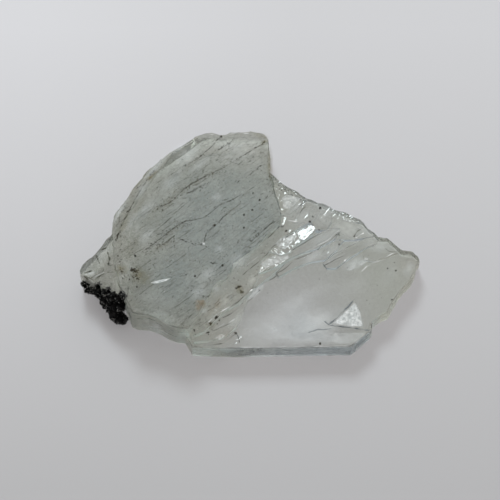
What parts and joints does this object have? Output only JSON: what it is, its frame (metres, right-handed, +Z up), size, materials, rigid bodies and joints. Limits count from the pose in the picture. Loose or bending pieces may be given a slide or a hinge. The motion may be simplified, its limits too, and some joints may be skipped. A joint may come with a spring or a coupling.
{
  "type": "tabular barite crystal",
  "caption": "Broken see-through grey-green barite plate in stepped cleavage layers, with a black mineral crust on one end, lying flat as a display specimen.",
  "frame": {"origin": "under the middle of the specimen's bounding box, on the surface that its flat cleavage face lies on", "axes": "+X along the specimen, from the crusted end to the thin end; +Y to the broken back edge; +Z up, square to the cleavage"},
  "size_m": [0.0457, 0.0304, 0.0065],
  "materials": {
    "barite": "glassy cleavage faces with fine lines, cracks and broken, glittering edges",
    "black_crust": "rough black grains with small bright facets",
    "rust_stain": "dull rusty brown stain and dirt in the cracks"
  },
  "bodies": {
    "root": {"barite_crystal": "barite", "black_crust_cluster": "black_crust", "black_crust_tip": "black_crust"}
  },
  "joints": []
}
